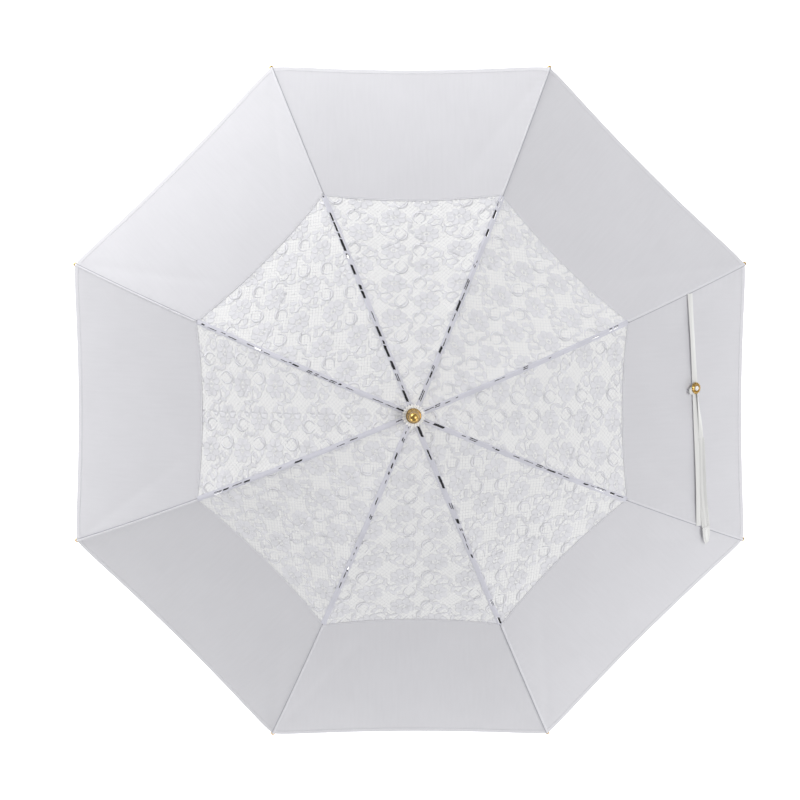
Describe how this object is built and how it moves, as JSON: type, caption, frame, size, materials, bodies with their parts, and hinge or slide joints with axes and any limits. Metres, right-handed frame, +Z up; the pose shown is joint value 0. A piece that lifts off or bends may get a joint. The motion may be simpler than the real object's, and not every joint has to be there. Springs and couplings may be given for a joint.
{
  "type": "lace parasol",
  "caption": "Open lace parasol: domed cloth canopy with a lace crown on hinged ribs, stretchers and a sliding runner, straight handle, brass trim.",
  "frame": {"origin": "centre of the handle's flat end, on the shaft's axis", "axes": "+Z up the shaft to the ferrule; +X across the middle of the gore that carries the strap"},
  "size_m": [0.8044, 0.8044, 0.7904],
  "materials": {
    "black_steel": "black enamelled steel, satin",
    "black_rod": "thin black coated rod, satin",
    "black_nylon": "moulded black nylon",
    "brass": "polished brass plate",
    "spring_steel": "bright spring steel strip",
    "wood": "pale lacquered birch",
    "cloth": "opaque white sateen",
    "lace": "white floral lace over a plain lining",
    "strap_cloth": "white sateen band with lace edging"
  },
  "bodies": {
    "root": {"shaft": "black_steel", "crown": "black_nylon", "ferrule": "brass", "rosette": "cloth", "handle": "wood", "handle_collar": "brass", "handle_cap": "brass"},
    "runner": {"runner": "black_nylon"},
    "top_catch": {"top_catch": "spring_steel"},
    "bottom_catch": {"bottom_catch": "spring_steel"},
    "inner_rib_1": {"inner_rib_1": "black_steel", "lace_panel_1": "lace"},
    "outer_rib_1": {"outer_rib_1": "black_rod", "rib_tip_1": "brass", "outer_panel_1": "cloth", "strap": "strap_cloth", "strap_snaps": "brass"},
    "stretcher_1": {"stretcher_1": "black_steel"},
    "inner_rib_2": {"inner_rib_2": "black_steel", "lace_panel_2": "lace"},
    "outer_rib_2": {"outer_rib_2": "black_rod", "rib_tip_2": "brass", "outer_panel_2": "cloth"},
    "stretcher_2": {"stretcher_2": "black_steel"},
    "inner_rib_3": {"inner_rib_3": "black_steel", "lace_panel_3": "lace"},
    "outer_rib_3": {"outer_rib_3": "black_rod", "rib_tip_3": "brass", "outer_panel_3": "cloth"},
    "stretcher_3": {"stretcher_3": "black_steel"},
    "inner_rib_4": {"inner_rib_4": "black_steel", "lace_panel_4": "lace"},
    "outer_rib_4": {"outer_rib_4": "black_rod", "rib_tip_4": "brass", "outer_panel_4": "cloth"},
    "stretcher_4": {"stretcher_4": "black_steel"},
    "inner_rib_5": {"inner_rib_5": "black_steel", "lace_panel_5": "lace"},
    "outer_rib_5": {"outer_rib_5": "black_rod", "rib_tip_5": "brass", "outer_panel_5": "cloth"},
    "stretcher_5": {"stretcher_5": "black_steel"},
    "inner_rib_6": {"inner_rib_6": "black_steel", "lace_panel_6": "lace"},
    "outer_rib_6": {"outer_rib_6": "black_rod", "rib_tip_6": "brass", "outer_panel_6": "cloth"},
    "stretcher_6": {"stretcher_6": "black_steel"},
    "inner_rib_7": {"inner_rib_7": "black_steel", "lace_panel_7": "lace"},
    "outer_rib_7": {"outer_rib_7": "black_rod", "rib_tip_7": "brass", "outer_panel_7": "cloth"},
    "stretcher_7": {"stretcher_7": "black_steel"},
    "inner_rib_8": {"inner_rib_8": "black_steel", "lace_panel_8": "lace"},
    "outer_rib_8": {"outer_rib_8": "black_rod", "rib_tip_8": "brass", "outer_panel_8": "cloth"},
    "stretcher_8": {"stretcher_8": "black_steel"}
  },
  "joints": [
    {"name": "runner_slide", "type": "slide", "parent": "root", "child": "runner", "axis": [0, 0, -1], "range_m": [0, 0.257], "deforming": ["top_catch", "bottom_catch"]},
    {"name": "top_catch_press", "type": "slide", "parent": "root", "child": "top_catch", "axis": [-1, 0, 0], "range_m": [0, 0.003], "stiffness_N_per_m": 600},
    {"name": "bottom_catch_press", "type": "slide", "parent": "root", "child": "bottom_catch", "axis": [-1, 0, 0], "range_m": [0, 0.003], "stiffness_N_per_m": 600},
    {"name": "inner_rib_1_fold", "type": "hinge", "parent": "root", "child": "inner_rib_1", "pos_m": [0.01016, 0.00421, 0.7532], "axis": [-0.3827, 0.9239, 0], "range_deg": [0, 75.25], "deforming": ["lace_panel_1"]},
    {"name": "outer_rib_1_bend", "type": "hinge", "parent": "inner_rib_1", "child": "outer_rib_1", "pos_m": [0.17445, 0.07226, 0.72266], "axis": [-0.3827, 0.9239, 0], "range_deg": [-24.5, 0], "deforming": ["outer_panel_1", "strap", "strap_snaps"]},
    {"name": "stretcher_1_fold", "type": "hinge", "parent": "inner_rib_1", "child": "stretcher_1", "pos_m": [0.17445, 0.07226, 0.72266], "axis": [-0.3827, 0.9239, 0], "range_deg": [-133.5, 0]},
    {"name": "inner_rib_2_fold", "type": "hinge", "parent": "root", "child": "inner_rib_2", "pos_m": [0.00421, 0.01016, 0.7532], "axis": [-0.9239, 0.3827, 0], "range_deg": [0, 75.25], "deforming": ["lace_panel_2"]},
    {"name": "outer_rib_2_bend", "type": "hinge", "parent": "inner_rib_2", "child": "outer_rib_2", "pos_m": [0.07226, 0.17445, 0.72266], "axis": [-0.9239, 0.3827, 0], "range_deg": [-24.5, 0], "deforming": ["outer_panel_2"]},
    {"name": "stretcher_2_fold", "type": "hinge", "parent": "inner_rib_2", "child": "stretcher_2", "pos_m": [0.07226, 0.17445, 0.72266], "axis": [-0.9239, 0.3827, 0], "range_deg": [-133.5, 0]},
    {"name": "inner_rib_3_fold", "type": "hinge", "parent": "root", "child": "inner_rib_3", "pos_m": [-0.00421, 0.01016, 0.7532], "axis": [-0.9239, -0.3827, 0], "range_deg": [0, 75.25], "deforming": ["lace_panel_3"]},
    {"name": "outer_rib_3_bend", "type": "hinge", "parent": "inner_rib_3", "child": "outer_rib_3", "pos_m": [-0.07226, 0.17445, 0.72266], "axis": [-0.9239, -0.3827, 0], "range_deg": [-24.5, 0], "deforming": ["outer_panel_3"]},
    {"name": "stretcher_3_fold", "type": "hinge", "parent": "inner_rib_3", "child": "stretcher_3", "pos_m": [-0.07226, 0.17445, 0.72266], "axis": [-0.9239, -0.3827, 0], "range_deg": [-133.5, 0]},
    {"name": "inner_rib_4_fold", "type": "hinge", "parent": "root", "child": "inner_rib_4", "pos_m": [-0.01016, 0.00421, 0.7532], "axis": [-0.3827, -0.9239, 0], "range_deg": [0, 75.25], "deforming": ["lace_panel_4"]},
    {"name": "outer_rib_4_bend", "type": "hinge", "parent": "inner_rib_4", "child": "outer_rib_4", "pos_m": [-0.17445, 0.07226, 0.72266], "axis": [-0.3827, -0.9239, 0], "range_deg": [-24.5, 0], "deforming": ["outer_panel_4"]},
    {"name": "stretcher_4_fold", "type": "hinge", "parent": "inner_rib_4", "child": "stretcher_4", "pos_m": [-0.17445, 0.07226, 0.72266], "axis": [-0.3827, -0.9239, 0], "range_deg": [-133.5, 0]},
    {"name": "inner_rib_5_fold", "type": "hinge", "parent": "root", "child": "inner_rib_5", "pos_m": [-0.01016, -0.00421, 0.7532], "axis": [0.3827, -0.9239, 0], "range_deg": [0, 75.25], "deforming": ["lace_panel_5"]},
    {"name": "outer_rib_5_bend", "type": "hinge", "parent": "inner_rib_5", "child": "outer_rib_5", "pos_m": [-0.17445, -0.07226, 0.72266], "axis": [0.3827, -0.9239, 0], "range_deg": [-24.5, 0], "deforming": ["outer_panel_5"]},
    {"name": "stretcher_5_fold", "type": "hinge", "parent": "inner_rib_5", "child": "stretcher_5", "pos_m": [-0.17445, -0.07226, 0.72266], "axis": [0.3827, -0.9239, 0], "range_deg": [-133.5, 0]},
    {"name": "inner_rib_6_fold", "type": "hinge", "parent": "root", "child": "inner_rib_6", "pos_m": [-0.00421, -0.01016, 0.7532], "axis": [0.9239, -0.3827, 0], "range_deg": [0, 75.25], "deforming": ["lace_panel_6"]},
    {"name": "outer_rib_6_bend", "type": "hinge", "parent": "inner_rib_6", "child": "outer_rib_6", "pos_m": [-0.07226, -0.17445, 0.72266], "axis": [0.9239, -0.3827, 0], "range_deg": [-24.5, 0], "deforming": ["outer_panel_6"]},
    {"name": "stretcher_6_fold", "type": "hinge", "parent": "inner_rib_6", "child": "stretcher_6", "pos_m": [-0.07226, -0.17445, 0.72266], "axis": [0.9239, -0.3827, 0], "range_deg": [-133.5, 0]},
    {"name": "inner_rib_7_fold", "type": "hinge", "parent": "root", "child": "inner_rib_7", "pos_m": [0.00421, -0.01016, 0.7532], "axis": [0.9239, 0.3827, 0], "range_deg": [0, 75.25], "deforming": ["lace_panel_7"]},
    {"name": "outer_rib_7_bend", "type": "hinge", "parent": "inner_rib_7", "child": "outer_rib_7", "pos_m": [0.07226, -0.17445, 0.72266], "axis": [0.9239, 0.3827, 0], "range_deg": [-24.5, 0], "deforming": ["outer_panel_7"]},
    {"name": "stretcher_7_fold", "type": "hinge", "parent": "inner_rib_7", "child": "stretcher_7", "pos_m": [0.07226, -0.17445, 0.72266], "axis": [0.9239, 0.3827, 0], "range_deg": [-133.5, 0]},
    {"name": "inner_rib_8_fold", "type": "hinge", "parent": "root", "child": "inner_rib_8", "pos_m": [0.01016, -0.00421, 0.7532], "axis": [0.3827, 0.9239, 0], "range_deg": [0, 75.25], "deforming": ["lace_panel_8"]},
    {"name": "outer_rib_8_bend", "type": "hinge", "parent": "inner_rib_8", "child": "outer_rib_8", "pos_m": [0.17445, -0.07226, 0.72266], "axis": [0.3827, 0.9239, 0], "range_deg": [-24.5, 0], "deforming": ["outer_panel_8"]},
    {"name": "stretcher_8_fold", "type": "hinge", "parent": "inner_rib_8", "child": "stretcher_8", "pos_m": [0.17445, -0.07226, 0.72266], "axis": [0.3827, 0.9239, 0], "range_deg": [-133.5, 0]}
  ],
  "couplings": [
    {"joint": "inner_rib_1_fold", "follows": "runner_slide", "rad_per_m": 5.1104},
    {"joint": "outer_rib_1_bend", "follows": "runner_slide", "rad_per_m": -1.6638},
    {"joint": "stretcher_1_fold", "follows": "runner_slide", "rad_per_m": -9.0662},
    {"joint": "inner_rib_2_fold", "follows": "runner_slide", "rad_per_m": 5.1104},
    {"joint": "outer_rib_2_bend", "follows": "runner_slide", "rad_per_m": -1.6638},
    {"joint": "stretcher_2_fold", "follows": "runner_slide", "rad_per_m": -9.0662},
    {"joint": "inner_rib_3_fold", "follows": "runner_slide", "rad_per_m": 5.1104},
    {"joint": "outer_rib_3_bend", "follows": "runner_slide", "rad_per_m": -1.6638},
    {"joint": "stretcher_3_fold", "follows": "runner_slide", "rad_per_m": -9.0662},
    {"joint": "inner_rib_4_fold", "follows": "runner_slide", "rad_per_m": 5.1104},
    {"joint": "outer_rib_4_bend", "follows": "runner_slide", "rad_per_m": -1.6638},
    {"joint": "stretcher_4_fold", "follows": "runner_slide", "rad_per_m": -9.0662},
    {"joint": "inner_rib_5_fold", "follows": "runner_slide", "rad_per_m": 5.1104},
    {"joint": "outer_rib_5_bend", "follows": "runner_slide", "rad_per_m": -1.6638},
    {"joint": "stretcher_5_fold", "follows": "runner_slide", "rad_per_m": -9.0662},
    {"joint": "inner_rib_6_fold", "follows": "runner_slide", "rad_per_m": 5.1104},
    {"joint": "outer_rib_6_bend", "follows": "runner_slide", "rad_per_m": -1.6638},
    {"joint": "stretcher_6_fold", "follows": "runner_slide", "rad_per_m": -9.0662},
    {"joint": "inner_rib_7_fold", "follows": "runner_slide", "rad_per_m": 5.1104},
    {"joint": "outer_rib_7_bend", "follows": "runner_slide", "rad_per_m": -1.6638},
    {"joint": "stretcher_7_fold", "follows": "runner_slide", "rad_per_m": -9.0662},
    {"joint": "inner_rib_8_fold", "follows": "runner_slide", "rad_per_m": 5.1104},
    {"joint": "outer_rib_8_bend", "follows": "runner_slide", "rad_per_m": -1.6638},
    {"joint": "stretcher_8_fold", "follows": "runner_slide", "rad_per_m": -9.0662}
  ]
}
